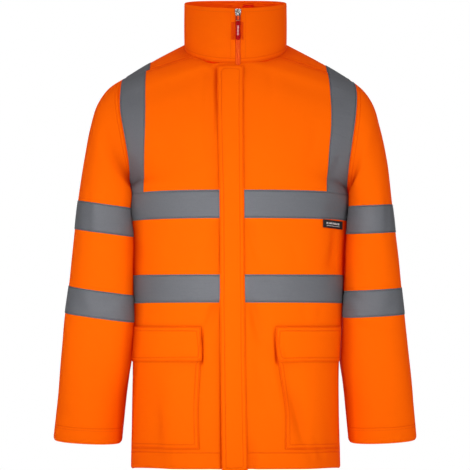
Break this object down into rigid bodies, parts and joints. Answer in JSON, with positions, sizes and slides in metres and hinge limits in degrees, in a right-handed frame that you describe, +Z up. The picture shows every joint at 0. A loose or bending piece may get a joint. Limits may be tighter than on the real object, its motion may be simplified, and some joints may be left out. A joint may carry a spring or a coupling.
{
  "type": "hi-vis work jacket",
  "caption": "Long orange high-visibility work jacket with stand collar, storm flap over a front zip, grey reflective tape and flapped patch pockets, hollow as worn.",
  "frame": {"origin": "base of the neck, midway between the shoulders, where the wearer holds the jacket up", "axes": "+Z up, -Y the way the front faces, +X to the wearer's left"},
  "size_m": [0.665, 0.2962, 0.866],
  "materials": {
    "orange_cloth": "fluorescent orange coated woven polyester, matt",
    "reflective_tape": "grey retroreflective glass-bead tape, satin",
    "zip_tape": "orange woven zip tape with moulded teeth",
    "nickel": "satin nickel plate",
    "red_rubber": "dark red moulded grip, satin",
    "black_tag": "black woven tag, matt",
    "red_tag": "dark red woven tag, matt"
  },
  "bodies": {
    "jacket": {"back": "orange_cloth", "chest_band_back": "reflective_tape", "chest_band_left": "reflective_tape", "chest_band_right": "reflective_tape", "chest_tag": "black_tag", "collar": "orange_cloth", "front_left": "orange_cloth", "front_right": "orange_cloth", "neck_tag": "red_tag", "pocket_flap_left": "orange_cloth", "pocket_flap_right": "orange_cloth", "pocket_left": "orange_cloth", "pocket_right": "orange_cloth", "shoulder_tape_back_left": "reflective_tape", "shoulder_tape_back_right": "reflective_tape", "shoulder_tape_front_left": "reflective_tape", "shoulder_tape_front_right": "reflective_tape", "sleeve_band_lower_left": "reflective_tape", "sleeve_band_lower_right": "reflective_tape", "sleeve_band_upper_left": "reflective_tape", "sleeve_band_upper_right": "reflective_tape", "sleeve_left_lower": "orange_cloth", "sleeve_left_upper": "orange_cloth", "sleeve_right_lower": "orange_cloth", "sleeve_right_upper": "orange_cloth", "storm_flap": "orange_cloth", "waist_band_back": "reflective_tape", "waist_band_left": "reflective_tape", "waist_band_right": "reflective_tape", "zip_chain": "zip_tape", "zip_slider": "nickel"},
    "pull": {"pull_grip": "red_rubber", "pull_link": "nickel"}
  },
  "joints": [
    {"name": "pull_swing", "type": "hinge", "parent": "jacket", "child": "pull", "pos_m": [0.0045, -0.09263, 0.04754], "axis": [-1, 0, 0], "range_deg": [0, 150]}
  ]
}
